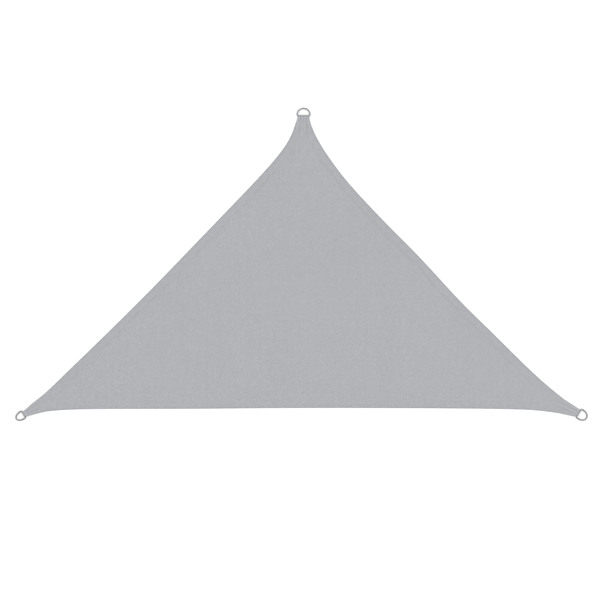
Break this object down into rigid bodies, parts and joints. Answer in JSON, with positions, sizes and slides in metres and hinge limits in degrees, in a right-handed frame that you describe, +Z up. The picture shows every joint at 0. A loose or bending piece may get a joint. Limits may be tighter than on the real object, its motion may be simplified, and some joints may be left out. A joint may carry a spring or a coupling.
{
  "type": "shade sail",
  "caption": "Three-cornered shade sail of knitted cloth laid out flat, with hollow hemmed sides and a steel D-ring in a webbing loop at each corner.",
  "frame": {"origin": "on the surface that the sail lies on, under the middle of the whole part's bounding box", "axes": "+X along the long straight-looking side, from the left ring to the right ring; +Y from that side towards the wide corner; +Z up, out of the sail's upper face"},
  "size_m": [2.8614, 1.5652, 0.0106],
  "materials": {
    "cloth": "matt light grey warp knit of flat polyethylene tapes",
    "webbing": "light grey woven polyester webbing",
    "steel": "satin stainless steel wire"
  },
  "bodies": {
    "root": {"sail_cloth": "cloth", "corner_loop_left": "webbing", "corner_loop_right": "webbing", "corner_loop_top": "webbing", "d_ring_left": "steel", "d_ring_right": "steel", "d_ring_top": "steel"}
  },
  "joints": []
}
